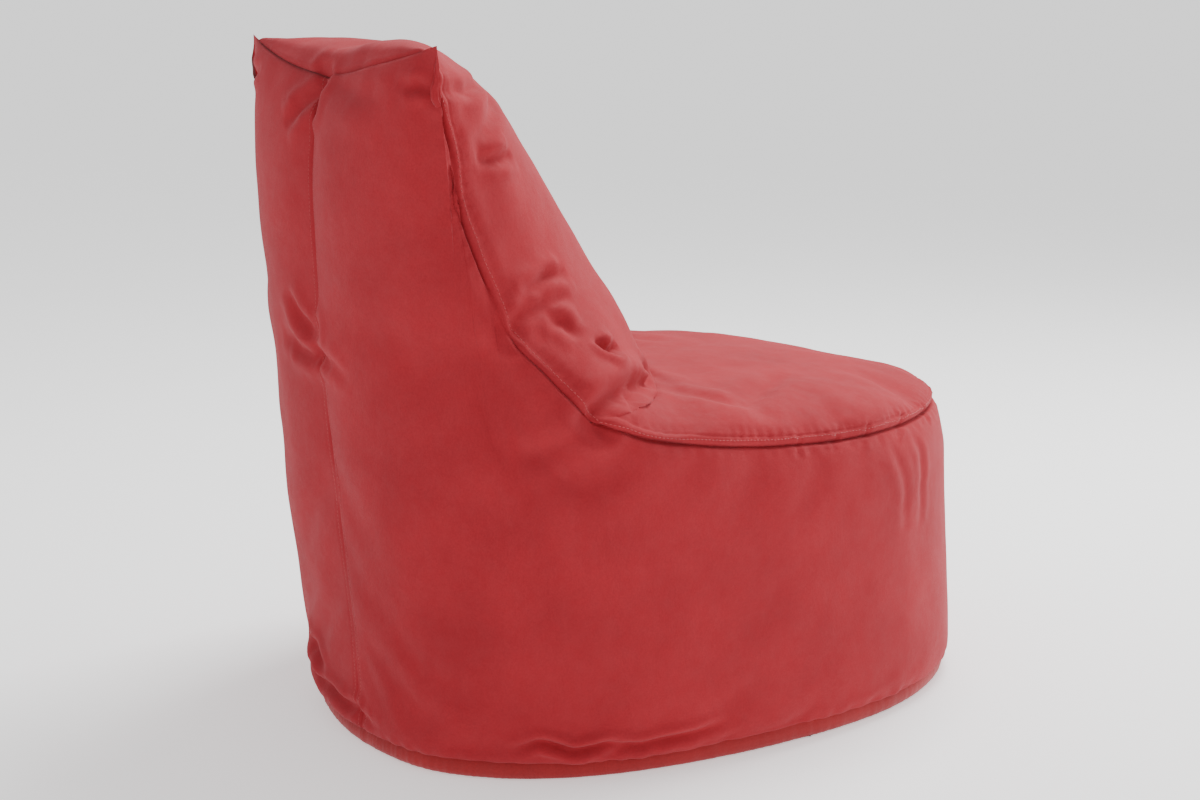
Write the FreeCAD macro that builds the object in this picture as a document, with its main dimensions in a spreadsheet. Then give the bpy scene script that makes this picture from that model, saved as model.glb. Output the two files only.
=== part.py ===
import FreeCAD
import Part
import math
import os
from FreeCAD import Placement, Rotation, Vector

# A lounge bean bag chair: a sewn cover with a zip across its base, a closed inner liner with a
# zip of its own, and a loose bead filling. Millimetres. +Z is up, the chair faces -Y, its back
# is at +Y, and the sitter's left is +X. The origin is at the middle of the base, on the floor.

os.makedirs("parts", exist_ok=True)
doc = FreeCAD.newDocument("bean_bag_chair")

# ---------------------------------------------------------------- driving dimensions
DIMENSIONS = [
    ("overall_height", 880, "floor to the two upper corners of the backrest"),
    ("base_half_depth", 449.55, "half the drum's depth, front to back"),
    ("base_half_width", 368, "half the drum's width"),
    ("base_centre_y", -18, "the drum's middle, ahead of the origin"),
    ("seat_height", 446, "the crown of the seat, over the drum's middle"),
    ("seat_slope", 6.5, "degrees: the seat rises to the back"),
    ("back_half_width", 310, "half the backrest's width where it meets the seat"),
    ("back_half_thick", 180, "half its thickness there"),
    ("back_foot_y", 242.6, "its middle, from the origin, at the seat"),
    ("back_lean", 178, "how far its top edge stands behind that"),
    ("corner_reach", 248, "the upper corners, each side of the middle"),
    ("top_sag", 14, "how far the top edge hangs between its corners"),
    ("base_seam_rise", 18, "height of the seam round the base"),
    ("cover_thick", 1.2, "cover fabric"),
    ("liner_thick", 0.7, "liner fabric"),
    ("layer_gap", 0.5, "between cover, liner and filling"),
    ("tape_wide", 8.2, "each zip tape, coil edge to sewn edge"),
    ("tape_thick", 0.6, "zip tape"),
    ("tape_rise", 7.4, "underside of the cover zip's tape"),
    ("liner_rise", 9.8, "underside of the liner's base"),
    ("slot_half_wide", 7, "half the gap that the zip closes"),
    ("slot_half_long", 262, "half its length"),
    ("tape_half_long", 261, "half the length of the zip tapes"),
    ("coil_half_long", 235, "half the zip's chain"),
    ("coil_wide", 2.4, "each coil"),
    ("coil_thick", 2.2, "each coil"),
    ("chain_gap", 0.6, "half the gap between the coils, where the slider's neck runs"),
    ("neck_half_wide", 0.4, "half the slider's neck"),
    ("run_gap", 0.3, "clearance between slider, coils and tapes"),
    ("slider_long", 13, "along the zip"),
    ("plate_thick", 1.0, "the slider's two plates"),
    ("flange_thick", 1.0, "the slider's sides"),
    ("slider_start", 228, "the slider's middle with the zip closed"),
    ("stop_long", 4, "each end stop"),
    ("slider_room", 2, "free height in the liner for its slider"),
    ("lug_half_long", 1.2, "half the length of the two lugs that hold the tab's pin"),
    ("lug_thick", 1, "each lug"),
    ("lug_wall", 0.4, "lug below the pin"),
    ("hinge_drop", 1.5, "the tab's hinge pin, under the slider's lower plate"),
    ("pin_radius", 0.5, "hinge pin"),
    ("eye_gap", 0.1, "running clearance of the tab's eye on the pin"),
    ("eye_wall", 0.7, "the tab's eye"),
    ("tab_thick", 0.9, "pull tab"),
    ("tab_neck_half", 1.6, "half the width of the tab's neck"),
    ("tab_half", 3.4, "half the width of its grip"),
    ("tab_neck_long", 8.5, "pin to grip"),
    ("tab_long", 21, "pin to the middle of the rounded end"),
    ("cover_zip_y", -36, "the cover zip's line across the base"),
    ("liner_zip_y", 44, "the liner zip's line"),
]

sheet = doc.addObject("Spreadsheet::Sheet", "dims")
for row, (alias, value, note) in enumerate(DIMENSIONS, start=1):
    sheet.set(f"A{row}", alias)
    sheet.set(f"B{row}", str(value))
    sheet.set(f"C{row}", note)
    sheet.setAlias(f"B{row}", alias)
doc.recompute()
size = {alias: float(sheet.get(alias)) for alias, _, _ in DIMENSIONS}

# Widths wider than the whole chair, for the boxes that cut it into panels, and how far a small
# cutting solid stands past the faces it cuts.
REACH = 600
TALL = 1000
PAST = 1

# The drum's wall, upwards: share of the footprint, share of the seat height, share of the slope.
# The first oval is under the floor, where a level cut takes it off.
WALL_SECTIONS = [
    (0.900, -0.020, 0.00),
    (0.975, 0.014, 0.00),
    (0.998, 0.050, 0.00),
    (1.000, 0.270, 0.35),
    (1.000, 0.520, 0.75),
    (1.000, 0.740, 1.00),
]
# Over the wall, the seat's shoulder and crown follow a superellipse.
CROWN_STEPS = 8
CROWN_LAST = 86
CROWN_POWER = 2.5
# The backrest, upwards from inside the drum: shares of the overall height, of the lean, of the
# half thickness and of the half width.
BACK_SECTIONS = [
    (0.060, 0.000, 0.75, 0.80),
    (0.340, 0.000, 0.93, 0.92),
    (0.510, 0.000, 1.00, 1.00),
    (0.625, 0.130, 0.955, 0.93),
    (0.758, 0.395, 0.872, 0.83),
    (0.852, 0.590, 0.694, 0.785),
    (0.932, 0.736, 0.478, 0.78),
    (0.989, 0.930, 0.170, 0.79),
    (1.023, 1.000, 0.070, 0.797),
]
# The front panel's seam seen from the side: (y, z) from above the upper corner, down the
# backrest's edge, and forward along the edge of the seat.
SEAM_POINTS = [
    (425, 950),
    (428, 880),
    (400, 710),
    (360, 550),
    (283, 450),
    (222, 422),
    (60, 393),
    (-157, 378),
    (-323, 375),
    (-520, 375),
]


# ---------------------------------------------------------------- small helpers
def bind(obj, **expressions):
    """Ties an object's properties to the sheet; PLACE_X, PLACE_Y and PLACE_Z are its position."""
    for key, expression in expressions.items():
        target = key
        if key.startswith("PLACE_"):
            target = "Placement.Base." + key[-1].lower()
        obj.setExpression(target, expression)


def add(kind, label):
    obj = doc.addObject(kind, label)
    obj.Label = label
    return obj


def box(label, length, width, height, corner_x, corner_y, corner_z):
    obj = add("Part::Box", label)
    bind(obj, Length=length, Width=width, Height=height)
    bind(obj, PLACE_X=corner_x, PLACE_Y=corner_y, PLACE_Z=corner_z)
    return obj


def cylinder(label, radius, height, spin, centre_x, centre_y, centre_z):
    obj = add("Part::Cylinder", label)
    obj.Placement = Placement(Vector(), spin)
    bind(obj, Radius=radius, Height=height)
    bind(obj, PLACE_X=centre_x, PLACE_Y=centre_y, PLACE_Z=centre_z)
    return obj


def fuse(label, *pieces):
    obj = add("Part::MultiFuse", label)
    obj.Shapes = list(pieces)
    obj.Refine = False  # refining would merge the lofts' seams and spoil their faces
    return obj


def common(label, *pieces):
    obj = add("Part::MultiCommon", label)
    obj.Shapes = list(pieces)
    obj.Refine = False
    return obj


def cut(label, base, tool):
    obj = add("Part::Cut", label)
    obj.Base = base
    obj.Tool = tool
    obj.Refine = False
    return obj


ALONG_Y = Rotation(Vector(1, 0, 0), -90)


# ---------------------------------------------------------------- the whole form, at any depth
def drum_sections():
    """The wall's ovals and then the crown's, which shrink as they rise to the seat height."""
    yield from WALL_SECTIONS
    _, shoulder, _ = WALL_SECTIONS[-1]
    for step in range(1, CROWN_STEPS + 1):
        turn = math.radians(CROWN_LAST * step / CROWN_STEPS)
        share = math.cos(turn) ** (2 / CROWN_POWER)
        rise = shoulder + (1 - shoulder) * math.sin(turn) ** (2 / CROWN_POWER)
        yield share, rise, 1.0


def drum(label, inset):
    """The round lower body: a loft of ovals, level at the floor and sloping at the seat."""
    ovals = []
    for step, (share, rise, slope) in enumerate(drum_sections()):
        oval = add("Part::Ellipse", f"{label}_oval_{step}")
        tilt = Rotation(Vector(1, 0, 0), slope * size["seat_slope"])
        oval.Placement = Placement(Vector(), tilt * Rotation(Vector(0, 0, 1), 90))
        bind(oval, MajorRadius=f"{share:.5f} * dims.base_half_depth - ({inset})")
        bind(oval, MinorRadius=f"{share:.5f} * dims.base_half_width - ({inset})")
        bind(oval, PLACE_Y="dims.base_centre_y")
        bind(oval, PLACE_Z=f"{rise:.5f} * (dims.seat_height - ({inset}))")
        ovals.append(oval)
    return loft(label, ovals)


def backrest(label, inset):
    """The upright part: a loft of level ovals that lean back and thin to an edge."""
    ovals = []
    for step, (rise, lean, thick, wide) in enumerate(BACK_SECTIONS):
        oval = add("Part::Ellipse", f"{label}_oval_{step}")
        bind(oval, MajorRadius=f"{wide} * dims.back_half_width - ({inset})")
        bind(oval, MinorRadius=f"{thick} * dims.back_half_thick - ({inset})")
        bind(oval, PLACE_Y=f"dims.back_foot_y + {lean} * dims.back_lean")
        bind(oval, PLACE_Z=f"{rise} * dims.overall_height")
        ovals.append(oval)
    return loft(label, ovals)


def loft(label, ovals):
    obj = add("Part::Loft", label)
    obj.Sections = ovals
    obj.Solid = True
    obj.Ruled = False
    return obj


SAG_RADIUS = "(dims.corner_reach ^ 2 + dims.top_sag ^ 2) / (2 * dims.top_sag)"


def form(label, inset, underside):
    """Drum and backrest in one, moved inwards by inset, its top edge hanging in an arc."""
    whole = fuse(f"{label}_whole", drum(f"{label}_drum", inset), backrest(f"{label}_back", inset))
    arc_middle = f"dims.overall_height - dims.top_sag + {SAG_RADIUS}"
    wide = str(2 * REACH)
    above = cylinder(
        f"{label}_above", f"{SAG_RADIUS} + ({inset})", wide, ALONG_Y, "0", str(-REACH), arc_middle
    )
    below = box(
        f"{label}_below", wide, wide, f"{REACH} + ({underside})", str(-REACH), str(-REACH), str(-REACH)
    )
    return cut(label, whole, fuse(f"{label}_around", above, below))


def seam_region():
    """Everything ahead of and above the front panel's seam, from side to side."""
    seam = Part.BSplineCurve()
    points = [Vector(-REACH, y, z) for y, z in SEAM_POINTS]
    seam.interpolate(points)
    front = Vector(-REACH, -REACH, points[-1].z)
    ceiling = Vector(-REACH, -REACH, TALL)
    behind = Vector(-REACH, points[0].y, TALL)
    edges = [seam.toShape()]
    for start, end in ((points[-1], front), (front, ceiling), (ceiling, behind), (behind, points[0])):
        edges.append(Part.LineSegment(start, end).toShape())
    outline = add("Part::Feature", "front_region_outline")
    outline.Shape = Part.Face(Part.Wire(edges))
    region = add("Part::Extrusion", "front_region")
    region.Base = outline
    region.DirMode = "Custom"
    region.Dir = Vector(1, 0, 0)
    region.LengthFwd = 2 * REACH
    return region


# ---------------------------------------------------------------- cover, liner and filling
LINER_OUT = "dims.cover_thick + dims.layer_gap"
LINER_IN = f"{LINER_OUT} + dims.liner_thick"
FILL_OUT = f"{LINER_IN} + dims.layer_gap"

front_region = seam_region()


def panels(prefix, names, inset, thick, underside, zip_y):
    """Makes a fabric bag: front, right and left panels, and a base in two halves with a gap."""
    deeper = f"{inset} + {thick}"
    outside = form(f"{prefix}_outside", inset, underside)
    inside = form(f"{prefix}_inside", deeper, f"{underside} + {thick}")
    shell = cut(f"{prefix}_shell", outside, inside)
    front, right, left, base_front, base_rear = names
    common(front, shell, front_region)
    walls = cut(f"{prefix}_walls", shell, front_region)
    seam = f"{underside} + dims.base_seam_rise"
    half_room = (str(REACH), str(2 * REACH), str(TALL))
    common(right, walls, box(f"{prefix}_right_room", *half_room, str(-REACH), str(-REACH), seam))
    common(left, walls, box(f"{prefix}_left_room", *half_room, "0", str(-REACH), seam))
    wide = str(2 * REACH)
    for name, start, span in (
        (base_front, str(-REACH), f"{zip_y} + {REACH}"),
        (base_rear, zip_y, f"{REACH} - ({zip_y})"),
    ):
        room = box(f"{name}_room", wide, span, "dims.base_seam_rise", str(-REACH), start, underside)
        above = box(
            f"{name}_above",
            wide,
            span,
            f"dims.base_seam_rise - {thick}",
            str(-REACH),
            start,
            f"{underside} + {thick}",
        )
        outer = common(f"{name}_outer", drum(f"{name}_outer_drum", inset), room)
        inner = common(f"{name}_inner", drum(f"{name}_inner_drum", deeper), above)
        half = cut(f"{name}_half", outer, inner)
        slot = box(
            f"{name}_slot",
            "2 * dims.slot_half_long",
            "2 * dims.slot_half_wide",
            f"{thick} + {2 * PAST}",
            "-dims.slot_half_long",
            f"{zip_y} - dims.slot_half_wide",
            f"{underside} - {PAST}",
        )
        yield name, half, slot


def zip_lip(label, side, zip_y):
    """The cover fabric's edge, turned up beside the zip to carry its tape."""
    inner = f"{zip_y} + dims.slot_half_wide"
    if side < 0:
        inner = f"{zip_y} - dims.slot_half_wide - dims.cover_thick"
    return box(
        label,
        "2 * dims.slot_half_long",
        "dims.cover_thick",
        "dims.tape_rise - dims.cover_thick",
        "-dims.slot_half_long",
        inner,
        "dims.cover_thick",
    )


def build_cover():
    names = (
        "front_panel",
        "right_side_panel",
        "left_side_panel",
        "base_panel_front",
        "base_panel_rear",
    )
    halves = panels("cover", names, "0", "dims.cover_thick", "0", "dims.cover_zip_y")
    for name, half, slot in halves:
        side = -1 if name == "base_panel_front" else 1
        flat = cut(f"{name}_flat", half, slot)
        fuse(name, flat, zip_lip(f"{name}_lip", side, "dims.cover_zip_y"))


def build_liner():
    names = (
        "liner_front_panel",
        "liner_right_panel",
        "liner_left_panel",
        "liner_base_front",
        "liner_base_rear",
    )
    halves = panels("liner", names, LINER_OUT, "dims.liner_thick", "dims.liner_rise", "dims.liner_zip_y")
    for name, half, slot in halves:
        cut(name, half, slot)


def build_filling():
    form("bead_filling", FILL_OUT, "dims.liner_rise + dims.liner_thick + dims.slider_room")


# ---------------------------------------------------------------- zips
def zip_chain(prefix, zip_y, tape_under):
    """Two tapes, two coils and the stops at both ends; the coils hang under the tapes."""
    for side_name, side in (("front", -1), ("rear", 1)):
        tape_edge = f"{zip_y} + dims.chain_gap"
        coil_edge = tape_edge
        if side < 0:
            tape_edge = f"{zip_y} - dims.chain_gap - dims.tape_wide"
            coil_edge = f"{zip_y} - dims.chain_gap - dims.coil_wide"
        box(
            f"{prefix}_zip_tape_{side_name}",
            "2 * dims.tape_half_long",
            "dims.tape_wide",
            "dims.tape_thick",
            "-dims.tape_half_long",
            tape_edge,
            tape_under,
        )
        box(
            f"{prefix}_zip_coil_{side_name}",
            "2 * dims.coil_half_long",
            "dims.coil_wide",
            "dims.coil_thick",
            "-dims.coil_half_long",
            coil_edge,
            f"{tape_under} - dims.coil_thick",
        )
    stops = []
    for end_name, corner in (
        ("right", "-dims.coil_half_long - dims.stop_long"),
        ("left", "dims.coil_half_long"),
    ):
        stops.append(
            box(
                f"{prefix}_zip_stop_{end_name}",
                "dims.stop_long",
                "2 * (dims.chain_gap + dims.coil_wide)",
                "dims.coil_thick",
                corner,
                f"{zip_y} - dims.chain_gap - dims.coil_wide",
                f"{tape_under} - dims.coil_thick",
            )
        )
    fuse(f"{prefix}_zip_end_stops", *stops)


def slider_body(prefix, zip_y, tape_under):
    """The slider's two plates, its neck between the coils, and the sides that close them."""
    inside_half = "(dims.chain_gap + dims.coil_wide + dims.run_gap)"
    outside_half = f"({inside_half} + dims.flange_thick)"
    lower_top = f"{tape_under} - dims.coil_thick - dims.run_gap"
    upper_under = f"{tape_under} + dims.tape_thick + dims.run_gap"
    start = "dims.slider_start - dims.slider_long / 2"
    pieces = []
    for plate, corner_z in (("lower", f"{lower_top} - dims.plate_thick"), ("upper", upper_under)):
        pieces.append(
            box(
                f"{prefix}_slider_{plate}",
                "dims.slider_long",
                f"2 * {outside_half}",
                "dims.plate_thick",
                start,
                f"{zip_y} - {outside_half}",
                corner_z,
            )
        )
    for flange, corner_y in (("front", f"{zip_y} - {outside_half}"), ("rear", f"{zip_y} + {inside_half}")):
        pieces.append(
            box(
                f"{prefix}_slider_{flange}",
                "dims.slider_long",
                "dims.flange_thick",
                "dims.coil_thick",
                start,
                corner_y,
                lower_top,
            )
        )
    pieces.append(
        box(
            f"{prefix}_slider_neck",
            "dims.slider_long / 2",
            "2 * dims.neck_half_wide",
            f"({upper_under}) - ({lower_top})",
            start,
            f"{zip_y} - dims.neck_half_wide",
            lower_top,
        )
    )
    return pieces, f"({lower_top} - dims.plate_thick)"


def tab_hinge(zip_y, plate_under):
    """Two lugs under the cover slider's lower plate, with the pin that the tab turns on."""
    lug_gap = "(dims.tab_neck_half + dims.run_gap)"
    pieces = []
    for lug, corner_y in (
        ("front", f"{zip_y} - {lug_gap} - dims.lug_thick"),
        ("rear", f"{zip_y} + {lug_gap}"),
    ):
        pieces.append(
            box(
                f"slider_lug_{lug}",
                "2 * dims.lug_half_long",
                "dims.lug_thick",
                "dims.hinge_drop + dims.pin_radius + dims.lug_wall",
                "dims.slider_start - dims.lug_half_long",
                corner_y,
                f"{plate_under} - dims.hinge_drop - dims.pin_radius - dims.lug_wall",
            )
        )
    pieces.append(
        cylinder(
            "slider_pin",
            "dims.pin_radius",
            f"2 * {lug_gap} + dims.lug_thick",
            ALONG_Y,
            "dims.slider_start",
            f"{zip_y} - {lug_gap} - dims.lug_thick / 2",
            f"{plate_under} - dims.hinge_drop",
        )
    )
    return pieces


def pull_tab(zip_y, plate_under):
    """An eye round the pin, a narrow neck and a wider rounded grip with a hole through it."""
    pin_z = f"{plate_under} - dims.hinge_drop"
    eye_radius = "(dims.pin_radius + dims.eye_gap + dims.eye_wall)"
    flat_z = f"{pin_z} - dims.tab_thick / 2"
    eye = cylinder(
        "tab_eye",
        eye_radius,
        "2 * dims.tab_neck_half",
        ALONG_Y,
        "dims.slider_start",
        f"{zip_y} - dims.tab_neck_half",
        pin_z,
    )
    neck = box(
        "tab_neck",
        "dims.tab_neck_long",
        "2 * dims.tab_neck_half",
        "dims.tab_thick",
        "dims.slider_start - dims.tab_neck_long",
        f"{zip_y} - dims.tab_neck_half",
        flat_z,
    )
    grip = box(
        "tab_grip",
        "dims.tab_long - dims.tab_neck_long",
        "2 * dims.tab_half",
        "dims.tab_thick",
        "dims.slider_start - dims.tab_long",
        f"{zip_y} - dims.tab_half",
        flat_z,
    )
    rounded_end = cylinder(
        "tab_end",
        "dims.tab_half",
        "dims.tab_thick",
        Rotation(),
        "dims.slider_start - dims.tab_long",
        zip_y,
        flat_z,
    )
    bore = cylinder(
        "tab_bore",
        "dims.pin_radius + dims.eye_gap",
        f"2 * dims.tab_neck_half + {2 * PAST}",
        ALONG_Y,
        "dims.slider_start",
        f"{zip_y} - dims.tab_neck_half - {PAST}",
        pin_z,
    )
    hole = cylinder(
        "tab_hole",
        "dims.tab_half / 2",
        f"dims.tab_thick + {2 * PAST}",
        Rotation(),
        "dims.slider_start - dims.tab_long",
        zip_y,
        f"{flat_z} - {PAST}",
    )
    solid = fuse("tab_solid", eye, neck, grip, rounded_end)
    cut("base_zip_pull_tab", solid, fuse("tab_openings", bore, hole))


def build_zips():
    zip_chain("base", "dims.cover_zip_y", "dims.tape_rise")
    pieces, plate_under = slider_body("base", "dims.cover_zip_y", "dims.tape_rise")
    pieces += tab_hinge("dims.cover_zip_y", plate_under)
    fuse("base_zip_slider", *pieces)
    pull_tab("dims.cover_zip_y", plate_under)
    liner_tape = "(dims.liner_rise - dims.tape_thick)"
    zip_chain("liner", "dims.liner_zip_y", liner_tape)
    pieces, _ = slider_body("liner", "dims.liner_zip_y", liner_tape)
    fuse("liner_zip_slider", *pieces)


# ---------------------------------------------------------------- build, check and write
NODES = [
    "front_panel",
    "right_side_panel",
    "left_side_panel",
    "base_panel_front",
    "base_panel_rear",
    "base_zip_tape_front",
    "base_zip_tape_rear",
    "base_zip_coil_front",
    "base_zip_coil_rear",
    "base_zip_end_stops",
    "base_zip_slider",
    "base_zip_pull_tab",
    "liner_front_panel",
    "liner_right_panel",
    "liner_left_panel",
    "liner_base_front",
    "liner_base_rear",
    "liner_zip_tape_front",
    "liner_zip_tape_rear",
    "liner_zip_coil_front",
    "liner_zip_coil_rear",
    "liner_zip_end_stops",
    "liner_zip_slider",
    "bead_filling",
]

build_cover()
build_liner()
build_filling()
build_zips()
doc.recompute()

for obj in doc.Objects:
    if "Invalid" in obj.State or "Error" in obj.State:
        raise RuntimeError(f"{obj.Label} failed: {obj.State}")
whole = []
for node in NODES:
    shape = doc.getObjectsByLabel(node)[0].Shape
    if shape.isNull() or not shape.isValid() or not shape.Solids:
        raise RuntimeError(f"{node} has no valid solid")
    whole.append(shape)
    print(f"{node}: {len(shape.Solids)} solid(s), {shape.Volume / 1000:.2f} cm3")
    shape.exportStep(f"parts/{node}.step")
box_all = Part.Compound(whole).optimalBoundingBox(True, False)
print(f"x {box_all.XMin:.2f} to {box_all.XMax:.2f}, y {box_all.YMin:.2f} to {box_all.YMax:.2f}")
print(f"z {box_all.ZMin:.2f} to {box_all.ZMax:.2f}")
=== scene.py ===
import math

import bpy
import numpy as np
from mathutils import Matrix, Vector, noise


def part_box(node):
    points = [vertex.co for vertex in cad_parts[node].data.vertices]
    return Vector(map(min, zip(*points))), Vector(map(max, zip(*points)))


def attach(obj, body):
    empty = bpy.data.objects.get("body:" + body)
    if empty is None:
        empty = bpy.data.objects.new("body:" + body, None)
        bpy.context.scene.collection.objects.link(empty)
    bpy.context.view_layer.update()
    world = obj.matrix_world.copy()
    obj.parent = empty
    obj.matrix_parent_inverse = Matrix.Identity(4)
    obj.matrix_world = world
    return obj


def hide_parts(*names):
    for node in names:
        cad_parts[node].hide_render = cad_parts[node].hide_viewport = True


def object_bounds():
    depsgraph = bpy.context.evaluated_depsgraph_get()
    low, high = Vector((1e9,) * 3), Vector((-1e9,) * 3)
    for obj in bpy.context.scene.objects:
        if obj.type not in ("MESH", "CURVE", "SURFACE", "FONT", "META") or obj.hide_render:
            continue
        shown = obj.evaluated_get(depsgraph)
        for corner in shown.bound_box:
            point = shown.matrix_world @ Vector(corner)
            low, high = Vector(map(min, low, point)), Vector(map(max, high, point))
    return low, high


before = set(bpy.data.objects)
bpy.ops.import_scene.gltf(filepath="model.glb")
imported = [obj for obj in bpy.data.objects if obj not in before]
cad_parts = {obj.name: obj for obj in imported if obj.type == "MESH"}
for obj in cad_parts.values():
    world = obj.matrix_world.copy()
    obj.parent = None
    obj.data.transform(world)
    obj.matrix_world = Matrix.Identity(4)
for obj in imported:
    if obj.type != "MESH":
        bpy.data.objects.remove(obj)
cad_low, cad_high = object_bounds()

# A bean bag chair around its CAD frame, in metres. It faces -Y, and -X is the sitter's right.
# Every outline below is in shares of the CAD box: half its width, half its depth, its height.
HALF_WIDTH = cad_high.x
HALF_DEPTH = cad_high.y
HEIGHT = cad_high.z
BOX = np.array([HALF_WIDTH, HALF_DEPTH, HEIGHT])
BODY = "bag"

# ---- outlines, left side (+X)
# The seam between front panel and side panel, from the upper corner down to the seat's corner.
EDGE_SEAM = [
    (0.648, 0.903, 1.000),
    (0.638, 0.893, 0.925),
    (0.640, 0.865, 0.866),
    (0.648, 0.855, 0.801),
    (0.659, 0.827, 0.750),
    (0.681, 0.785, 0.684),
    (0.737, 0.758, 0.624),
    (0.831, 0.696, 0.574),
    (0.898, 0.597, 0.510),
]
# The same seam along the side of the seat and round to the middle of its front.
SEAT_SEAM = [
    (0.898, 0.597, 0.510),
    (0.943, 0.469, 0.482),
    (0.959, 0.298, 0.4615),
    (0.954, 0.131, 0.447),
    (0.947, -0.042, 0.438),
    (0.924, -0.211, 0.432),
    (0.868, -0.405, 0.430),
    (0.763, -0.590, 0.4285),
    (0.588, -0.764, 0.4285),
    (0.3285, -0.902, 0.4285),
    (0.000, -0.955, 0.4285),
]
# The top seam, from its low middle behind the upper edge to the upper corner.
TOP_SEAM = [
    (0.000, 0.935, 0.950),
    (0.214, 0.943, 0.962),
    (0.442, 0.931, 0.980),
    (0.648, 0.903, 1.000),
]
# The front panel's middle, (y, z): over the upper edge, down the backrest and to the seat.
FACE_MIDDLE = [
    (0.935, 0.950),
    (0.905, 0.984),
    (0.860, 0.990),
    (0.730, 0.986),
    (0.575, 0.930),
    (0.475, 0.862),
    (0.400, 0.800),
    (0.332, 0.739),
    (0.270, 0.680),
    (0.209, 0.625),
    (0.160, 0.563),
    (0.130, 0.505),
]
# The seat's middle, (y, z), from under the backrest to the seam at the front.
SEAT_MIDDLE = [
    (0.130, 0.505),
    (0.060, 0.4995),
    (-0.230, 0.4915),
    (-0.443, 0.484),
    (-0.633, 0.473),
    (-0.815, 0.4525),
    (-0.910, 0.4395),
    (-0.955, 0.4285),
]
# The base seam: half width, front and rear reach, its middle, its height and its squareness.
BASE_WIDE = 0.978 * HALF_WIDTH
BASE_FRONT = 0.972 * HALF_DEPTH
BASE_REAR = 0.950 * HALF_DEPTH
BASE_MIDDLE = -0.038 * HALF_DEPTH
BASE_RISE = 0.025 * HEIGHT
SQUARE_FRONT = 2.3
SQUARE_REAR = 2.3

# Grid steps: from the middle of the top seam to a corner, down the backrest, along the seat, and
# up the side panel. The finished surfaces have FINER times as many.
TOP_STEPS = 30
EDGE_STEPS = 42
SEAT_STEPS = 64
SIDE_STEPS = 56
BASE_STEPS = 26
FINER = 3


# ---- curves
def spline(points, places):
    """A smooth curve through points, read at places from 0 to 1 of its length."""
    points = np.asarray(points, float)
    steps = np.linalg.norm(np.diff(points, axis=0), axis=1)
    knots = np.concatenate([[0], np.cumsum(steps)])
    slopes = np.gradient(points, knots, axis=0)

    def read(at):
        at = np.clip(at, 0, knots[-1])
        span = np.clip(np.searchsorted(knots, at, side="right") - 1, 0, len(steps) - 1)
        wide = steps[span]
        part = ((at - knots[span]) / wide)[:, None]
        wide = wide[:, None]
        start = (1 + 2 * part) * (1 - part) ** 2 * points[span]
        end = part**2 * (3 - 2 * part) * points[span + 1]
        lean_out = part * (1 - part) ** 2 * wide * slopes[span]
        lean_in = part**2 * (part - 1) * wide * slopes[span + 1]
        return start + end + lean_out + lean_in

    dense = read(np.linspace(0, knots[-1], 800))
    return evenly(dense, places)


def run_along(line):
    """The length of a line up to each of its points."""
    return np.concatenate([[0], np.cumsum(np.linalg.norm(np.diff(line, axis=0), axis=1))])


def read_at(places, run, values):
    """The values that go with a run, read at other places."""
    return np.stack([np.interp(places, run, values[:, k]) for k in range(values.shape[1])], -1)


def evenly(line, places):
    """Points at places from 0 to 1 of the length of a line of close points."""
    run = run_along(line)
    return read_at(np.asarray(places) * run[-1], run, line)


def smooth_step(low, high, value):
    part = np.clip((value - low) / (high - low), 0, 1)
    return part * part * (3 - 2 * part)


def hump(value, middle, wide):
    return np.exp(-(((value - middle) / wide) ** 2))


def base_outline(count=2400):
    """Half the base seam, from the middle of the back round the left to the middle of the front."""
    turn = np.linspace(0, math.pi, count)
    across, along = np.sin(turn), np.cos(turn)
    square = np.where(along > 0, SQUARE_REAR, SQUARE_FRONT)
    reach = np.where(along > 0, BASE_REAR - BASE_MIDDLE, BASE_FRONT + BASE_MIDDLE)
    x = BASE_WIDE * np.abs(across) ** (2 / square)
    y = BASE_MIDDLE + reach * np.sign(along) * np.abs(along) ** (2 / square)
    return np.stack([x, y, np.full(count, BASE_RISE)], -1)


# ---- the side panel's grid
TOP_SHARES = np.sin(math.pi / 2 * np.arange(TOP_STEPS + 1) / TOP_STEPS)
EDGE_SHARES = np.arange(EDGE_STEPS + 1) / EDGE_STEPS
SEAT_SHARES = np.arange(SEAT_STEPS + 1) / SEAT_STEPS
TIP_COLUMN = TOP_STEPS
CORNER_COLUMN = TOP_STEPS + EDGE_STEPS
COLUMNS = TOP_STEPS + EDGE_STEPS + SEAT_STEPS
# How far back on the base seam the column under the seat's corner starts.
UNDER_CORNER = 0.46 * HALF_DEPTH
# How much the side panel's rows crowd towards its two rims.
ROW_EASE = 0.055
# The side panel's swell in metres: low down all round, high up at the back, and a shoulder under
# the seat's seam. A greater power puts the fullest place higher up.
LOW_SWELL = 0.006
LOW_SWELL_BACK = 0.002
LOW_POWER = 0.42
HIGH_SWELL = 0.002
HIGH_SWELL_BACK = 0.018
HIGH_POWER = 3.6
SHOULDER_SWELL = 0.005
SHOULDER_POWER = 5


def top_boundary():
    """Where the side panel's columns end: top seam, edge seam, seat seam."""
    top = spline(np.array(TOP_SEAM) * BOX, TOP_SHARES)
    edge = spline(np.array(EDGE_SEAM) * BOX, EDGE_SHARES)
    seat = spline(np.array(SEAT_SEAM) * BOX, SEAT_SHARES)
    return np.concatenate([top, edge[1:], seat[1:]])


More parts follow.
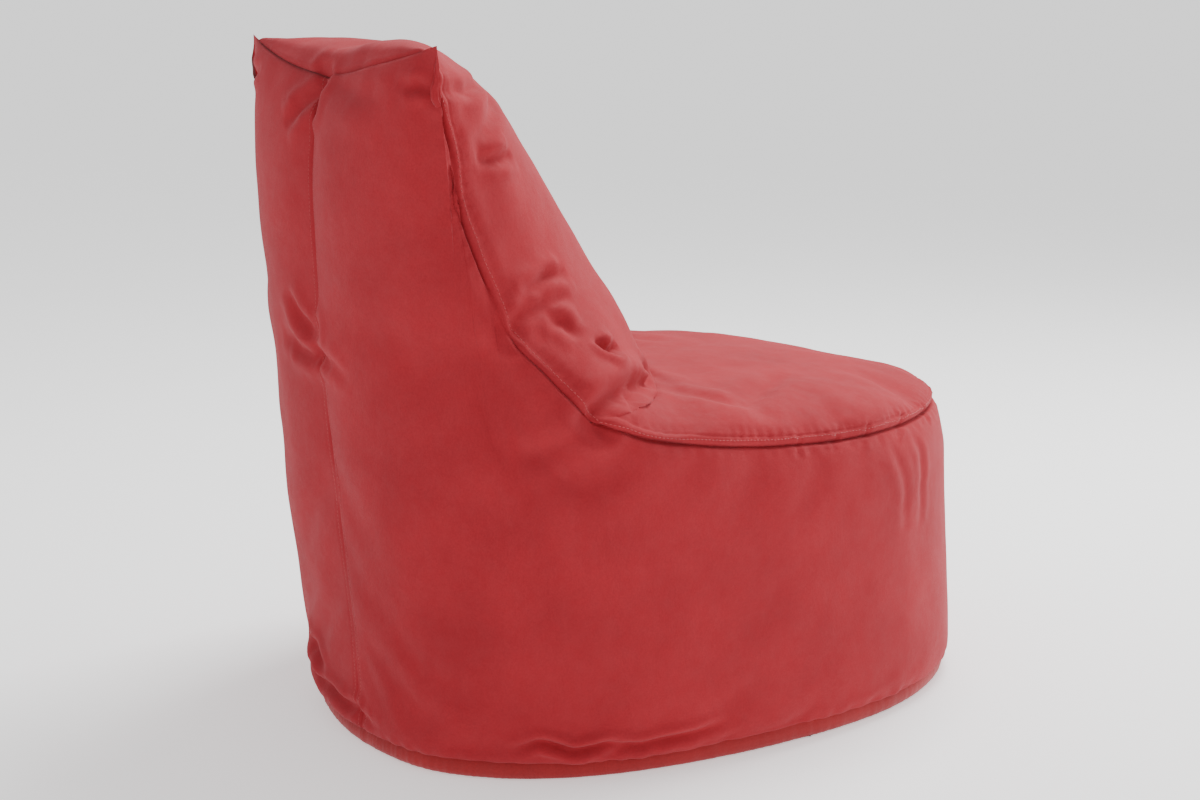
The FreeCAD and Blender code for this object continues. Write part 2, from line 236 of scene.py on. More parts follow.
def bottom_boundary():
    """Where the columns start on the base seam, and the level direction outwards there."""
    outline = base_outline()
    run = run_along(outline)
    share = run / run[-1]
    under_tip = share[np.argmax(outline[:, 0] > EDGE_SEAM[0][0] * HALF_WIDTH)]
    under_corner = share[np.argmax(outline[:, 1] < UNDER_CORNER)]
    places = np.concatenate(
        [
            under_tip * np.linspace(0, 1, TOP_STEPS + 1),
            under_tip + (under_corner - under_tip) * EDGE_SHARES[1:],
            under_corner + (1 - under_corner) * SEAT_SHARES[1:],
        ]
    )
    points = read_at(places, share, outline)
    tangent = np.gradient(outline, axis=0)
    outward = np.stack([-tangent[:, 1], tangent[:, 0]], -1)
    outward /= np.linalg.norm(outward, axis=1, keepdims=True)
    facing = read_at(places, share, outward)
    return points, facing


def side_grid():
    """The left side panel, [column][row] from the base seam up, filled out by its beads."""
    top = top_boundary()
    bottom, facing = bottom_boundary()
    rows = np.linspace(0, 1, SIDE_STEPS + 1)
    rows = rows - ROW_EASE * np.sin(2 * math.pi * rows)
    grid = bottom[:, None] * (1 - rows[None, :, None]) + top[:, None] * rows[None, :, None]
    column = np.arange(COLUMNS + 1)
    back = 1 - smooth_step(0.15 * TIP_COLUMN, 1.02 * TIP_COLUMN, column)
    seatward = smooth_step(CORNER_COLUMN, CORNER_COLUMN + 0.3 * SEAT_STEPS, column)
    low = LOW_SWELL + LOW_SWELL_BACK * back
    high = HIGH_SWELL_BACK * back + HIGH_SWELL
    shoulder = SHOULDER_SWELL * seatward
    swell = low[:, None] * np.sin(math.pi * rows**LOW_POWER)
    swell = swell + high[:, None] * np.sin(math.pi * rows**HIGH_POWER)
    swell = swell + shoulder[:, None] * np.sin(math.pi * rows**SHOULDER_POWER)
    grid[..., :2] += facing[:, None] * swell[..., None]
    return grid


# ---- the front panel's grid
# How much the seat's rows crowd towards the backrest, and how much fuller than the backrest's the
# seat's cross-section is.
SEAT_ROW_POWER = 1.5
SEAT_FULLNESS = 0.45
# The crest of the upper edge between its middle and its corners: height in metres, and rows.
CREST = 0.018
CREST_ROWS = 9
# Over how many rows the top seam's own line passes into the cross-sections.
SEAM_EASE_ROWS = 2.0


def front_half_grid():
    """Half the front panel, [row][step from the middle to its left edge]."""
    top = top_boundary()
    edge = top[TIP_COLUMN:]
    rows = len(edge)
    row = np.arange(rows)
    face = spline(np.array(FACE_MIDDLE) * BOX[1:], EDGE_SHARES)
    reach = 1 - SEAT_SHARES**SEAT_ROW_POWER
    seat_line = spline(np.array(SEAT_MIDDLE) * BOX[1:], np.linspace(0, 1, 400))
    depth = (seat_line[:, 0] - seat_line[-1, 0]) / (seat_line[0, 0] - seat_line[-1, 0])
    seat = read_at(-reach, -depth, seat_line)
    middle = np.concatenate([face, seat[1:]])
    fall = np.sqrt(np.clip(1 - TOP_SHARES**2, 0, 1))
    seatward = smooth_step(0.85 * EDGE_STEPS, 1.25 * EDGE_STEPS, row)
    power = 1.0 - SEAT_FULLNESS * seatward
    grid = np.zeros((rows, TOP_STEPS + 1, 3))
    grid[..., 0] = edge[:, None, 0] * TOP_SHARES
    grid[..., 1] = edge[:, None, 1] + (middle[:, None, 0] - edge[:, None, 1]) * fall
    rise = fall[None, :] ** power[:, None]
    grid[..., 2] = edge[:, None, 2] + (middle[:, None, 1] - edge[:, None, 2]) * rise
    seam_row = top[: TIP_COLUMN + 1]
    ease = np.exp(-row / SEAM_EASE_ROWS)
    grid += (seam_row - grid[0])[None] * ease[:, None, None]
    crest = CREST * np.sin(math.pi * np.clip(row / CREST_ROWS, 0, 1))
    grid[..., 2] += crest[:, None] * (TOP_SHARES**1.5 * fall**0.3)[None]
    grid[:, -1] = edge
    return grid


# How far the back seam wanders, and the share of the height that it starts from.
SEAM_DRIFT = 0.19 * HALF_WIDTH
DRIFT_START = 0.62


def drifted(grid):
    """The back seam wanders to the sitter's right towards the floor."""
    grid = grid.copy()
    low = 1 - smooth_step(0.0, DRIFT_START, grid[..., 2] / HEIGHT)
    rear = smooth_step(0.2 * HALF_DEPTH, 0.8 * HALF_DEPTH, grid[..., 1])
    grid[..., 0] -= SEAM_DRIFT * low * rear * hump(grid[..., 0], 0, 0.7 * HALF_WIDTH)
    return grid


def mirrored(grid):
    return grid * np.array([-1, 1, 1])


def whole_front(half):
    """Both halves of the front panel in one grid, from right edge to left edge."""
    return np.concatenate([mirrored(half)[:, ::-1], half[:, 1:]], axis=1)


def finer(grid, times=FINER):
    """The grid with times as many steps both ways, on smooth curves through its points."""
    for axis in (0, 1):
        grid = np.moveaxis(grid, axis, 0)
        padded = np.concatenate([2 * grid[:1] - grid[1:2], grid, 2 * grid[-1:] - grid[-2:-1]])
        before, start, end, after = padded[:-3], padded[1:-2], padded[2:-1], padded[3:]
        parts = []
        for step in range(times):
            t = step / times
            bent = 2 * start + (end - before) * t
            bent = bent + (2 * before - 5 * start + 4 * end - after) * t**2
            bent = bent + (3 * start - before - 3 * end + after) * t**3
            parts.append(bent / 2)
        woven = np.stack(parts, 1).reshape((-1,) + grid.shape[1:])
        grid = np.moveaxis(np.concatenate([woven, grid[-1:]]), 0, axis)
    return grid


def outward_normals(grid, sign):
    normal = np.cross(np.gradient(grid, axis=0), np.gradient(grid, axis=1)) * sign
    return normal / (np.linalg.norm(normal, axis=-1, keepdims=True) + 1e-9)


# ---- meshes
def mesh_object(name, vertices, faces):
    mesh = bpy.data.meshes.new(name)
    mesh.from_pydata([tuple(v) for v in vertices], [], faces)
    mesh.update()
    obj = bpy.data.objects.new(name, mesh)
    bpy.context.scene.collection.objects.link(obj)
    return obj


def grid_faces(rows, columns, flip=False):
    """Quads over a rows by columns grid of points, numbered row by row."""
    first = (np.arange(rows - 1)[:, None] * columns + np.arange(columns - 1)[None]).ravel()
    quads = np.stack([first, first + 1, first + columns + 1, first + columns], -1)
    if flip:
        quads = quads[:, ::-1]
    return quads


def grid_object(name, grid, flip=False):
    rows, columns = grid.shape[:2]
    obj = mesh_object(name, grid.reshape(-1, 3), grid_faces(rows, columns, flip).tolist())
    merge_doubles(obj)
    obj.data.shade_smooth()
    return obj


def merge_doubles(obj):
    """Joins points that share a place, where a grid ends in one point."""
    weld = obj.modifiers.new("weld", "WELD")
    weld.merge_threshold = 1e-5
    bpy.context.view_layer.objects.active = obj
    bpy.ops.object.modifier_apply(modifier=weld.name)


# ---- cloth simulation
# How far a point may move, how much larger the cloth is than the panels, and how hard its points
# are held to them away from the seams, where they are held fast.
CLOTH_CAP = 0.010
CLOTH_OVERSIZE = 0.014
CLOTH_HOLD = 0.10
CLOTH_PRESSURE = 1.2
CLOTH_FRAMES = 16
CLOTH_SMOOTHING = 3
# The calm zone beside the upright seams, and the share of the movement that is left on them.
CALM_WIDE = 0.045
CALM_SHARE = 0.1


def settle(grids, flips):
    """Slightly oversize cloth filled with air, held near the panels: it finds its own wrinkles."""
    points = np.concatenate([grid.reshape(-1, 3) for grid in grids])
    places, joined = np.unique(np.round(points, 5), axis=0, return_inverse=True)
    joined = joined.ravel()
    faces, start = [], 0
    for grid, flip in zip(grids, flips):
        quads = joined[grid_faces(*grid.shape[:2], flip) + start]
        start += grid.shape[0] * grid.shape[1]
        for quad in quads.tolist():
            around = list(dict.fromkeys(quad))
            if len(around) > 2:
                faces.append(around)
    obj = mesh_object("cloth", places, faces)
    seam = np.zeros(len(places), bool)
    start = 0
    for grid in grids:
        index = joined[start : start + grid.shape[0] * grid.shape[1]].reshape(grid.shape[:2])
        start += grid.shape[0] * grid.shape[1]
        for rim in (index[0], index[-1], index[:, 0], index[:, -1]):
            seam[rim] = True
    held = obj.vertex_groups.new(name="held")
    held.add(np.where(seam)[0].tolist(), 1.0, "REPLACE")
    held.add(np.where(~seam)[0].tolist(), CLOTH_HOLD, "REPLACE")
    cloth = obj.modifiers.new("cloth", "CLOTH")
    settings = cloth.settings
    settings.quality = 5
    settings.mass = 0.25
    settings.tension_stiffness = 30
    settings.compression_stiffness = 30
    settings.shear_stiffness = 15
    settings.bending_stiffness = 0.6
    settings.tension_damping = 12
    settings.compression_damping = 12
    settings.air_damping = 6
    settings.vertex_group_mass = held.name
    settings.pin_stiffness = 1.0
    settings.shrink_min = -CLOTH_OVERSIZE
    settings.use_pressure = True
    settings.uniform_pressure_force = CLOTH_PRESSURE
    settings.effector_weights.gravity = 0
    cloth.collision_settings.use_collision = False
    cloth.point_cache.frame_end = CLOTH_FRAMES
    scene = bpy.context.scene
    for count in range(1, CLOTH_FRAMES + 1):
        scene.frame_set(count)
    graph = bpy.context.evaluated_depsgraph_get()
    shaped = obj.evaluated_get(graph).data
    moved = np.zeros(len(places) * 3)
    shaped.vertices.foreach_get("co", moved)
    moved = moved.reshape(-1, 3) - places
    scene.frame_set(1)
    bpy.data.objects.remove(obj)
    far = np.linalg.norm(moved, axis=1, keepdims=True)
    moved = moved * np.tanh(far / CLOTH_CAP) * CLOTH_CAP / (far + 1e-9)
    edge = grids[0][TIP_COLUMN : CORNER_COLUMN + 1, -1]
    seam_line = close_points(edge, 2 * LINE_SPACING)
    seam_line = np.concatenate([seam_line, mirrored(seam_line)])
    start = 0
    out = []
    for grid in grids:
        count = grid.shape[0] * grid.shape[1]
        shift = moved[joined[start : start + count]].reshape(grid.shape)
        far, _ = distance(grid, seam_line)
        calm = smooth_step(0.0, CALM_WIDE, far)
        shift *= (CALM_SHARE + (1 - CALM_SHARE) * calm)[..., None]
        for _ in range(CLOTH_SMOOTHING):
            inner = shift[:-2, 1:-1] + shift[2:, 1:-1] + shift[1:-1, :-2] + shift[1:-1, 2:]
            shift[1:-1, 1:-1] = shift[1:-1, 1:-1] / 2 + inner / 8
        out.append(grid + shift)
        start += count
    return out


# ---- folds and seams
# The spacing of the close points on a seam's line.
LINE_SPACING = 0.002
# How many close points a fold's line has, how near the surface they have to be to count, how many
# of them are moved onto the surface, and how many close points the line through those has.
FOLD_POINTS = 80
FOLD_REACH = 0.03
FOLD_KNOTS = 9
SNAPPED_POINTS = 100
# A fold fades over this share of its length, by this power of the place along it.
FADE_SHARE = 0.35
FADE_POWER = 0.7


def distance(points, line):
    """How far each point is from a line of close points, and the nearest one's number."""
    flat = points.reshape(-1, 3)
    far = np.empty(len(flat))
    nearest = np.empty(len(flat), int)
    for start in range(0, len(flat), 8000):
        part = flat[start : start + 8000]
        gap = ((part[:, None] - line[None]) ** 2).sum(-1)
        nearest[start : start + 8000] = gap.argmin(1)
        far[start : start + 8000] = np.sqrt(gap.min(1))
    return far.reshape(points.shape[:-1]), nearest.reshape(points.shape[:-1])


def crease(grid, line, depth, wide, ridge, both_ends=True):
    """A fold's push along the normal: a valley of that depth with a softer ridge each side."""
    line = spline(np.array(line) * BOX, np.linspace(0, 1, FOLD_POINTS))
    around = np.ones(grid.shape[:2], bool)
    for axis in range(3):
        low = line[:, axis].min() - FOLD_REACH - 4 * wide
        high = line[:, axis].max() + FOLD_REACH + 4 * wide
        around &= (grid[..., axis] > low) & (grid[..., axis] < high)
    push = np.zeros(grid.shape[:2])
    if not around.any():
        return push
    patch = grid[around]
    off, nearest = distance(line, patch)
    close = np.flatnonzero(off < FOLD_REACH)
    if len(close) < 12:
        return push
    knots = close[np.linspace(0, len(close) - 1, FOLD_KNOTS).astype(int)]
    snapped = patch[nearest[knots]]
    moves = np.linalg.norm(np.diff(snapped, axis=0), axis=1)
    kept = np.concatenate([[True], moves > 0.001])
    snapped, knots = snapped[kept], knots[kept]
    if len(snapped) < 3:
        return push
    line = spline(snapped, np.linspace(0, 1, SNAPPED_POINTS))
    far, nearest = distance(patch, line)
    run = run_along(snapped)
    along = np.interp(nearest / (SNAPPED_POINTS - 1), run / run[-1], knots / (FOLD_POINTS - 1))
    fade = np.clip((1 - along) / FADE_SHARE, 0.0, 1) ** FADE_POWER
    if both_ends:
        fade = fade * np.clip(along / FADE_SHARE, 0.0, 1) ** FADE_POWER
    valley = np.exp(-((far / wide) ** 2))
    beside = hump(far, 2.1 * wide, 1.2 * wide)
    push[around] = depth * fade * (ridge * beside - valley)
    return push


# Folds: places along each in shares of the box, depth and half width of the valley in metres, and
# the height of the ridges beside it as a share of the depth. One marked False fades out only at
# its last end.
FOLDS = [
    # The pinch under the right upper corner, across the seam.
    ([(-0.5, 0.94, 0.946), (-0.59, 0.92, 0.947), (-0.64, 0.898, 0.944), (-0.6, 0.85, 0.94)],
     0.0055, 0.0065, 0.5),
    ([(-0.64, 0.89, 0.942), (-0.55, 0.794, 0.938), (-0.34, 0.66, 0.938)], 0.0065, 0.0075, 0.5),
    # The same on the left.
    ([(0.46, 0.94, 0.95), (0.6, 0.915, 0.942), (0.64, 0.88, 0.936)], 0.005, 0.007, 0.5),
    ([(0.63, 0.86, 0.93), (0.52, 0.78, 0.925), (0.36, 0.68, 0.93)], 0.006, 0.008, 0.5),
    # The L-shaped fold on the upper backrest.
    ([(-0.3, 0.66, 0.94), (-0.43, 0.671, 0.916), (-0.57, 0.74, 0.888), (-0.63, 0.785, 0.862)],
     0.005, 0.011, 0.7),
    ([(-0.62, 0.781, 0.856), (-0.585, 0.735, 0.848), (-0.52, 0.655, 0.85)], 0.0075, 0.0075, 0.6),
    # Folds that fan out from the bend of the seam.
    ([(-0.735, 0.752, 0.622), (-0.726, 0.722, 0.64), (-0.699, 0.656, 0.657), (-0.64, 0.54, 0.66)],
     0.006, 0.0085, 0.7, False),
    ([(-0.702, 0.713, 0.662), (-0.67, 0.642, 0.684), (-0.6, 0.52, 0.692)], 0.0075, 0.008, 0.7),
    ([(-0.713, 0.64, 0.643), (-0.723, 0.604, 0.63), (-0.75, 0.56, 0.606)], 0.0055, 0.009, 0.6),
    # The pocket beside the hollow of the back.
    ([(-0.75, 0.51, 0.606), (-0.753, 0.478, 0.59), (-0.7, 0.42, 0.59)], 0.013, 0.0065, 0.6),
    # The deep fold between back and seat, from the seam's corner into the hollow.
    ([(-0.89, 0.6, 0.516), (-0.868, 0.547, 0.529), (-0.828, 0.469, 0.536), (-0.75, 0.374, 0.535),
      (-0.64, 0.27, 0.53)], 0.015, 0.012, 0.45, False),
    ([(-0.7, 0.34, 0.534), (-0.62, 0.25, 0.526), (-0.57, 0.235, 0.535), (-0.6, 0.29, 0.548)],
     0.007, 0.0065, 0.8),
    ([(-0.871, 0.49, 0.508), (-0.828, 0.44, 0.52), (-0.76, 0.37, 0.524)], 0.0075, 0.006, 0.6),
    # Its counterpart on the left, softer.
    ([(0.89, 0.6, 0.516), (0.84, 0.49, 0.534), (0.72, 0.35, 0.535)], 0.019, 0.012, 0.4, False),
    ([(0.76, 0.54, 0.61), (0.7, 0.44, 0.596), (0.58, 0.33, 0.6)], 0.008, 0.009, 0.6),
    # The hollow between back and seat.
    ([(-0.55, 0.235, 0.525), (0.0, 0.125, 0.512), (0.6, 0.25, 0.525)], 0.006, 0.016, 0.2),
    # Soft dents in the seat.
    ([(-0.6, 0.188, 0.508), (-0.72, 0.144, 0.498), (-0.78, 0.099, 0.49), (-0.8, 0.04, 0.486)],
     0.0045, 0.016, 0.6),
    ([(-0.8, 0.065, 0.487), (-0.665, -0.074, 0.492), (-0.52, -0.27, 0.49)], 0.0055, 0.015, 0.6),
    ([(0.7, 0.02, 0.492), (0.4, -0.18, 0.5), (0.15, -0.24, 0.5)], 0.004, 0.018, 0.6),
    # Across the back seam, below the middle.
    ([(0.3, 0.965, 0.578), (0.123, 0.979, 0.56), (-0.024, 0.979, 0.562), (-0.22, 0.97, 0.546)],
     0.006, 0.0085, 0.8),
    ([(0.2, 0.992, 0.65), (0.13, 0.99, 0.61), (0.0, 0.985, 0.585)], 0.0055, 0.01, 0.8),
    # From the valley of the top edge down the back.
    ([(-0.02, 0.943, 0.944), (0.064, 0.967, 0.915), (0.17, 0.992, 0.88)], 0.007, 0.01, 0.7, False),
    ([(-0.08, 0.95, 0.944), (-0.3, 0.958, 0.93), (-0.46, 0.95, 0.922)], 0.004, 0.014, 0.7),
    # From the seam's corner down the side panel.
    ([(-0.9, 0.6, 0.508), (-0.857, 0.665, 0.482), (-0.72, 0.745, 0.452)], 0.0035, 0.012, 0.6),
    # Long soft folds over the base seam, where the weight rests.
    ([(-0.73, 0.76, 0.046), (-0.79, 0.7, 0.063), (-0.839, 0.623, 0.048), (-0.882, 0.551, 0.054),
      (-0.925, 0.46, 0.05)], 0.008, 0.0055, 0.9),
    ([(-0.857, 0.587, 0.04), (-0.93, 0.44, 0.046), (-0.985, 0.22, 0.056)], 0.006, 0.006, 0.9),
    ([(0.34, 0.88, 0.075), (0.12, 0.925, 0.062), (-0.1, 0.944, 0.054), (-0.316, 0.935, 0.042)],
     0.007, 0.0075, 0.9),
    ([(0.3, 0.88, 0.115), (0.15, 0.92, 0.1), (0.05, 0.93, 0.08)], 0.006, 0.008, 0.8),
    ([(0.99, 0.2, 0.05), (0.97, -0.2, 0.045), (0.8, -0.64, 0.052)], 0.006, 0.008, 0.8),
    # Drapes on the front wall.
    ([(-0.825, -0.5, 0.42), (-0.855, -0.536, 0.356), (-0.86, -0.528, 0.27)], 0.0022, 0.008, 0.7),
    ([(-0.892, -0.371, 0.42), (-0.908, -0.424, 0.357), (-0.906, -0.431, 0.27)], 0.0018, 0.009, 0.7),
    ([(-0.4, -0.88, 0.42), (-0.42, -0.9, 0.33), (-0.38, -0.91, 0.24)], 0.0022, 0.009, 0.7),
    ([(0.5, -0.83, 0.42), (0.53, -0.85, 0.34), (0.5, -0.86, 0.25)], 0.0022, 0.009, 0.7),
    ([(0.05, -0.95, 0.42), (0.1, -0.96, 0.35), (0.08, -0.97, 0.29)], 0.002, 0.009, 0.7),
    ([(0.84, 0.64, 0.52), (0.8, 0.68, 0.44), (0.82, 0.65, 0.34)], 0.0045, 0.012, 0.7),
    # Short puckers across the seam at the seat's edge.
    ([(-0.938, -0.05, 0.456), (-0.965, -0.018, 0.42)], 0.0035, 0.0035, 0.6),
    ([(-0.918, -0.19, 0.452), (-0.95, -0.145, 0.418)], 0.004, 0.0035, 0.6),
    ([(-0.888, -0.32, 0.45), (-0.922, -0.268, 0.418)], 0.004, 0.0035, 0.6),
    ([(-0.82, -0.49, 0.447), (-0.872, -0.428, 0.416)], 0.0045, 0.0038, 0.6),
    ([(-0.7, -0.64, 0.447), (-0.75, -0.62, 0.414)], 0.004, 0.0038, 0.6),
    ([(-0.5, -0.79, 0.447), (-0.54, -0.81, 0.414)], 0.004, 0.004, 0.6),
    ([(0.3, -0.88, 0.447), (0.28, -0.92, 0.414)], 0.004, 0.004, 0.6),
    ([(0.64, -0.69, 0.447), (0.67, -0.7, 0.414)], 0.004, 0.004, 0.6),
    ([(0.86, -0.38, 0.45), (0.9, -0.34, 0.416)], 0.004, 0.004, 0.6),
]

# Seams in metres: the groove's depth on the front panel's seams and on the others, its half
# width, the stitched band inside the front panel's seams, the stitches' lane beside the back seam,
# and the half width of the dip that a row of stitches pulls.
EDGE_GROOVE = 0.0065
SEAM_GROOVE = 0.0040
GROOVE_WIDE = 0.0021
BAND = 0.0125
BACK_LANE = 0.0062
STITCH_DIP = 0.0013
# The share of folds and unevenness that is left on a seam, and how far it takes to build up.
SEAM_SHARE = 0.55
SEAM_CALM = 0.03


def seam_push(far, groove, band=0.0, puckers=None):
    """A seam's cross-section: a groove on the seam, then a flat stitched band, then the swell."""
    push = -groove * np.exp(-((far / GROOVE_WIDE) ** 2))
    if band:
        push += 0.0009 * hump(far, 0.5 * band, 0.35 * band)
        push -= 0.0012 * hump(far, band, STITCH_DIP)
        push += 0.0020 * smooth_step(band, band + 0.016, far)
    if puckers is not None:
        push += puckers * hump(far, 1.25 * band if band else 0.008, 0.007)
    return push


def seam_shade_and_soil(*distances):
    """How dark the cloth is near its seams, 1 in the gap: painted shade there, wear further out."""
    far = np.min(distances, axis=0)
    return 0.18 * hump(far, 0, 0.010) + 0.82 * hump(far, 0, 0.0022)


def away_from(points, *tips):
    """0 at a corner where seams meet, 1 a little way from it."""
    near = np.min([np.linalg.norm(points - tip, axis=-1) for tip in tips], axis=0)
    return smooth_step(0.004, 0.040, near)


def rumple(points, scale, depth, salt):
    """Gentle unevenness: noise at that scale, of that depth."""
    flat = points.reshape(-1, 3)
    shift = Vector((salt * 3.1, salt * 1.7, salt * 0.9))
    values = [noise.noise(Vector(p) / scale + shift) for p in flat.tolist()]
    return depth * np.array(values).reshape(points.shape[:-1])


def pucker_wave(nearest, pitch, depth, salt):
    """Small ridges across a seam, uneven along it, from the numbers of its line's points."""
    along = nearest * LINE_SPACING
    wave = np.sin(2 * math.pi * along / pitch + 1.7 * np.sin(along / 0.041 + salt))
    patchy = 0.55 + 0.45 * np.sin(along / 0.083 + salt) * np.sin(along / 0.031 + 2 * salt)
    return depth * wave * patchy


def close_points(line, spacing=LINE_SPACING):
    """The line again, as points at that spacing."""
    length = np.linalg.norm(np.diff(line, axis=0), axis=1).sum()
    return evenly(line, np.linspace(0, 1, int(length / spacing)))


def shape_side(grid, sign, salt):
    """The finished side panel, with its folds, seams and unevenness."""
    fine = finer(grid)
    normal = outward_normals(fine, sign)
    top_line = close_points(fine[: FINER * TIP_COLUMN + 1, -1])
    edge_line = close_points(fine[FINER * TIP_COLUMN :, -1])
    base_line = close_points(fine[:, 0])
    back_line = close_points(fine[0])
    push = rumple(fine, 0.17, 0.0040, salt) + rumple(fine, 0.055, 0.0011, salt + 5)
    for fold in FOLDS:
        push += crease(fine, *fold)
    edge_far, edge_near = distance(fine, edge_line)
    top_far, _ = distance(fine, top_line)
    base_far, base_near = distance(fine, base_line)
    back_far, _ = distance(fine, back_line)
    edge_pucker = pucker_wave(edge_near, 0.021, 0.0009, salt)
    base_pucker = pucker_wave(base_near, 0.030, 0.0012, salt + 2)
    loose = smooth_step(0.0, SEAM_CALM, np.minimum(np.minimum(edge_far, top_far), base_far))
    push *= SEAM_SHARE + (1 - SEAM_SHARE) * loose
    push += seam_push(edge_far, EDGE_GROOVE, puckers=edge_pucker)
    push += 0.0015 * smooth_step(0.0, 0.018, edge_far)
    push += seam_push(top_far, SEAM_GROOVE)
    push += seam_push(base_far, SEAM_GROOVE, puckers=base_pucker)
    push += 0.0010 * smooth_step(0.0, 0.004, back_far) - 0.0010
    push -= 0.0008 * hump(back_far, BACK_LANE, STITCH_DIP)
    clear = away_from(fine, fine[FINER * TIP_COLUMN, -1])
    push *= clear
    # Painted shade in the seam gaps, with wear beside them, weaker at the upper corner.
    rim = seam_shade_and_soil(edge_far, top_far, base_far) * (0.35 + 0.65 * clear)
    pushed = fine + normal * push[..., None]
    return fine, pushed, rim


def shape_front(grid):
    """The finished front panel."""
    fine = finer(grid)
    normal = outward_normals(fine, 1)
    top_line = close_points(fine[0])
    push = rumple(fine, 0.15, 0.0050, 11) + rumple(fine, 0.05, 0.0016, 16)
    for fold in FOLDS:
        push += crease(fine, *fold)
    left_line = close_points(fine[:, -1])
    right_line = close_points(fine[:, 0])
    left_far, left_near = distance(fine, left_line)
    right_far, right_near = distance(fine, right_line)
    top_far, _ = distance(fine, top_line)
    far = np.minimum(left_far, right_far)
    near = np.where(left_far < right_far, left_near, right_near)
    puckers = pucker_wave(near, 0.015, 0.0012, 3)
    loose = smooth_step(0.0, SEAM_CALM, np.minimum(far, top_far))
    push *= SEAM_SHARE + (1 - SEAM_SHARE) * loose
    push += seam_push(far, EDGE_GROOVE, band=BAND, puckers=puckers)
    push += seam_push(top_far, SEAM_GROOVE)
    clear = away_from(fine, fine[0, 0], fine[0, -1])
    push *= clear
    # Painted shade in the seam gaps, with wear beside them, weaker at the upper corners.
    rim = seam_shade_and_soil(far, top_far) * (0.35 + 0.65 * clear)
    pushed = fine + normal * push[..., None]
    return fine, pushed, rim


def share_rims(left, right, middle):
    """Gives the panels one set of points along their common seams, so that none of them gapes."""
    corner = FINER * TIP_COLUMN
    for side, front_edge, front_top in (
        (left, (slice(None), -1), (0, slice(corner, None))),
        (right, (slice(None), 0), (0, slice(corner, None, -1))),
    ):
        seam = (side[corner:, -1] + middle[front_edge]) / 2
        side[corner:, -1] = seam
        middle[front_edge] = seam
        top = (side[: corner + 1, -1] + middle[front_top]) / 2
        side[: corner + 1, -1] = top
        middle[front_top] = top
    back = (left[0] + right[0]) / 2
    left[0] = back
    right[0] = back
    ahead = (left[-1] + right[-1]) / 2
    ahead[:, 0] = 0
    left[-1] = ahead
    right[-1] = ahead


plain_left = drifted(side_grid())
plain_right = drifted(mirrored(side_grid()))
plain_front = whole_front(front_half_grid())
plain_left, plain_right, plain_front = settle(
    [plain_left, plain_right, plain_front], [False, True, True]
)

smooth_left, side_left, seam_shade_soil_left = shape_side(plain_left, -1, 1)
smooth_right, side_right, seam_shade_soil_right = shape_side(plain_right, 1, 2)
smooth_front, front, seam_shade_soil_front = shape_front(plain_front)
share_rims(side_left, side_right, front)


# ---- base panels
# How the base turns under from its seam: shares of the way down, and of its width.
BASE_ROLL = [(0.0, 1.0), (0.3, 1.006), (0.62, 1.006), (0.86, 1.0), (0.97, 0.993), (1.0, 0.982)]
ZIP_LINE = (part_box("base_zip_coil_front")[1].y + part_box("base_zip_coil_rear")[0].y) / 2
LINER_ZIP_LINE = (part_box("liner_zip_coil_front")[1].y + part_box("liner_zip_coil_rear")[0].y) / 2
SLOT_HALF_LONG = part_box("base_zip_tape_front")[1].x + 0.001
SLOT_HALF_WIDE = 0.007
# The underside's height, and how far the slot's lip rises from it, to just under the zip's tape.
UNDERSIDE = 0.0004
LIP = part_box("base_zip_tape_front")[0].z - 0.0004 - UNDERSIDE


def base_half(left, right, facing, zip_line, underside, lip):
    """Half the base: from the seam under the roll to the zip, with the lip that holds its tape."""
    loop = np.concatenate([left[:, 0], right[::-1][1:, 0]])
    if facing > 0:
        loop = np.concatenate([right[::-1][:, 0], left[1:, 0]])
    inside = np.flatnonzero(loop[:, 1] * facing > zip_line * facing)
    ring = loop[inside]
    ends = []
    for last, beyond in ((inside[0], inside[0] - 1), (inside[-1], inside[-1] + 1)):
        part = (zip_line - loop[last, 1]) / (loop[beyond, 1] - loop[last, 1])
        ends.append(loop[last] + (loop[beyond] - loop[last]) * part)
    ring = np.concatenate([ends[:1], ring, ends[1:]])
    count = len(ring)
    turn = np.linspace(0, math.pi, count)
    first, last = ring[0], ring[-1]
    inner_x = first[0] + (last[0] - first[0]) * (1 - np.cos(turn)) / 2
    in_slot = np.clip((SLOT_HALF_LONG - np.abs(inner_x)) / 0.002, 0, 1)
    inner_y = zip_line + facing * SLOT_HALF_WIDE * in_slot
    middle = np.array([0, BASE_MIDDLE])
    rows = [ring]
    for down, share in BASE_ROLL[1:]:
        row = np.empty((count, 3))
        row[:, :2] = middle + (ring[:, :2] - middle) * share
        row[:, 2] = ring[:, 2] + (underside - ring[:, 2]) * down
        rows.append(row)
    under = rows[-1]
    for step in range(1, BASE_STEPS + 1):
        part = step / BASE_STEPS
        row = np.empty((count, 3))
        row[:, 0] = under[:, 0] + (inner_x - under[:, 0]) * part
        row[:, 1] = under[:, 1] + (inner_y - under[:, 1]) * part
        row[:, 2] = underside
        rows.append(row)
    for part in (0.5, 1.0):
        row = rows[-1].copy()
        row[:, 2] = underside + lip * part * in_slot
        rows.append(row)
    return np.stack(rows)


def base_grid(facing):
    """The cover's base half, its fabric a little off the floor here and there."""
    grid = base_half(side_left, side_right, facing, ZIP_LINE, UNDERSIDE, LIP)
    keep = smooth_step(0.02, 0.10, np.hypot(grid[..., 0] / 2.4, grid[..., 1] - ZIP_LINE))
    wave = rumple(grid, 0.09, 0.0022, 21) + 0.0014
    inner = np.zeros(grid.shape[:2])
    inner[len(BASE_ROLL) : -2] = 1
    grid[..., 2] += np.clip(wave, 0, None) * keep * inner
    return grid


# ---- the layers inside
AXIS_HEIGHTS = [0.0, 0.45 * HEIGHT, 0.62 * HEIGHT, 0.80 * HEIGHT, HEIGHT]
AXIS_DEPTHS = [0.0, 0.05 * HALF_DEPTH, 0.50 * HALF_DEPTH, 0.72 * HALF_DEPTH, 0.90 * HALF_DEPTH]


